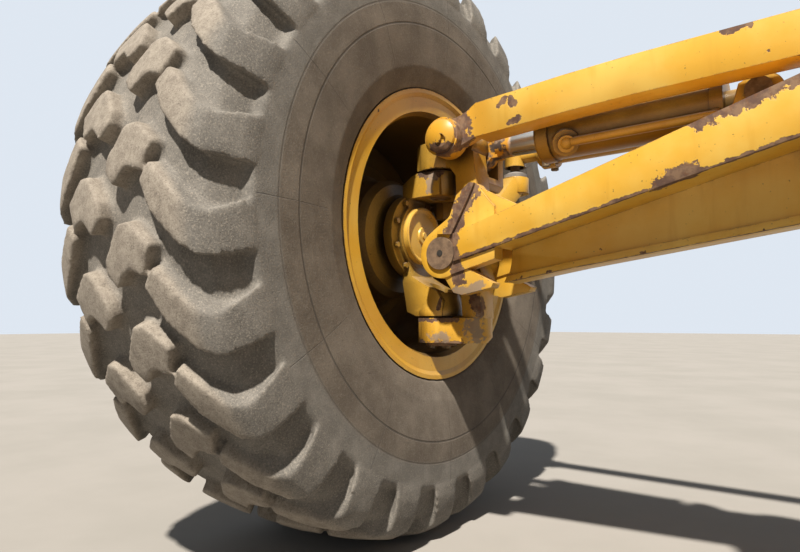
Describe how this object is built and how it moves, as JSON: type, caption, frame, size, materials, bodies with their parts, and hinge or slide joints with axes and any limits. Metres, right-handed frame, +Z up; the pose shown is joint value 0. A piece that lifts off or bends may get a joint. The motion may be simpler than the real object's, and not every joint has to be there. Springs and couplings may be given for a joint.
{
  "type": "motor grader front axle",
  "caption": "Leaning-wheel steering axle of a motor grader: arched beam, lean castings, knuckles, lean bar and cylinder, tie rod and two lugged wheels.",
  "frame": {"origin": "middle of the centre pivot bore, which is the middle of the axle", "axes": "+X to the machine's right, +Y forward along the pivot bore, +Z up"},
  "size_m": [2.804, 1.52, 1.52],
  "materials": {
    "paint": "worn gloss",
    "steel": "worn",
    "chrome": "polished",
    "seal": "matt",
    "tyre": "dusty"
  },
  "bodies": {
    "axle": {"axle_beam": "paint", "pivot_housing": "paint", "lean_pins": "steel", "cylinder_bracket": "paint", "cylinder_pin": "steel", "lean_barrel": "paint"},
    "lean_bar": {"lean_bar": "paint"},
    "lean_rod": {"lean_rod": "chrome"},
    "yoke_right": {"yoke_right": "paint", "kingpins_right": "steel", "top_pin_right": "steel"},
    "knuckle_right": {"knuckle_right": "paint", "spindle_cap_right": "paint", "steering_arm_right": "paint", "ball_stud_right": "steel"},
    "ball_seal_right": {"ball_seal_right": "seal"},
    "wheel_right": {"hub_right": "paint", "hub_cap_right": "paint", "rim_right": "paint", "tyre_right": "tyre"},
    "yoke_left": {"yoke_left": "paint", "kingpins_left": "steel", "top_pin_left": "steel"},
    "knuckle_left": {"knuckle_left": "paint", "spindle_cap_left": "paint", "steering_arm_left": "paint", "ball_stud_left": "steel"},
    "ball_seal_left": {"ball_seal_left": "seal"},
    "wheel_left": {"hub_left": "paint", "hub_cap_left": "paint", "rim_left": "paint", "tyre_left": "tyre"},
    "tie_rod": {"tie_rod": "paint", "tie_end_right": "paint", "tie_clamps": "paint"},
    "tie_end_left": {"tie_end_left": "paint"}
  },
  "joints": [
    {"name": "wheel_lean_right", "type": "hinge", "parent": "axle", "child": "yoke_right", "pos_m": [0.828, 0, -0.155], "axis": [0, 1, 0], "range_deg": [-18, 18]},
    {"name": "wheel_lean_left", "type": "hinge", "parent": "axle", "child": "yoke_left", "pos_m": [-0.828, 0, -0.155], "axis": [0, 1, 0], "range_deg": [-18, 18]},
    {"name": "lean_bar_pin", "type": "hinge", "parent": "yoke_right", "child": "lean_bar", "pos_m": [0.828, 0, 0.125], "axis": [0, 1, 0], "range_deg": [-18, 18]},
    {"name": "lean_cylinder_slide", "type": "slide", "parent": "axle", "child": "lean_rod", "axis": [1, 0, 0], "range_m": [-0.08662, 0.08662]},
    {"name": "steer_right", "type": "hinge", "parent": "yoke_right", "child": "knuckle_right", "pos_m": [0.905, 0, -0.12], "axis": [0, 0, 1], "range_deg": [-43, 43]},
    {"name": "steer_left", "type": "hinge", "parent": "yoke_left", "child": "knuckle_left", "pos_m": [-0.905, 0, -0.12], "axis": [0, 0, 1], "range_deg": [-43, 43]},
    {"name": "ball_turn_right", "type": "hinge", "parent": "knuckle_right", "child": "ball_seal_right", "pos_m": [0.846, -0.31, 0.165], "axis": [0, 0, 1], "range_deg": [-46, 46]},
    {"name": "ball_tilt_right", "type": "hinge", "parent": "ball_seal_right", "child": "tie_rod", "pos_m": [0.846, -0.31, 0.165], "axis": [0, 1, 0], "range_deg": [-18, 18]},
    {"name": "ball_turn_left", "type": "hinge", "parent": "knuckle_left", "child": "ball_seal_left", "pos_m": [-0.846, -0.31, 0.165], "axis": [0, 0, 1], "range_deg": [-46, 46]},
    {"name": "ball_tilt_left", "type": "hinge", "parent": "ball_seal_left", "child": "tie_end_left", "pos_m": [-0.846, -0.31, 0.165], "axis": [0, 1, 0], "range_deg": [-18, 18]},
    {"name": "wheel_spin_right", "type": "hinge", "parent": "knuckle_right", "child": "wheel_right", "pos_m": [1.14, 0, -0.09], "axis": [1, 0, 0], "continuous": true},
    {"name": "wheel_spin_left", "type": "hinge", "parent": "knuckle_left", "child": "wheel_left", "pos_m": [-1.14, 0, -0.09], "axis": [1, 0, 0], "continuous": true}
  ],
  "couplings": [
    {"joint": "wheel_lean_left", "follows": "wheel_lean_right", "ratio": 1},
    {"joint": "lean_bar_pin", "follows": "wheel_lean_right", "ratio": -1},
    {"joint": "lean_cylinder_slide", "follows": "wheel_lean_right", "m_per_rad": 0.27542},
    {"joint": "steer_left", "follows": "steer_right", "ratio": 1},
    {"joint": "ball_turn_right", "follows": "steer_right", "ratio": -1.066},
    {"joint": "ball_turn_left", "follows": "steer_right", "ratio": -1.066},
    {"joint": "ball_tilt_right", "follows": "wheel_lean_right", "ratio": -0.97},
    {"joint": "ball_tilt_left", "follows": "wheel_lean_right", "ratio": -0.97}
  ]
}
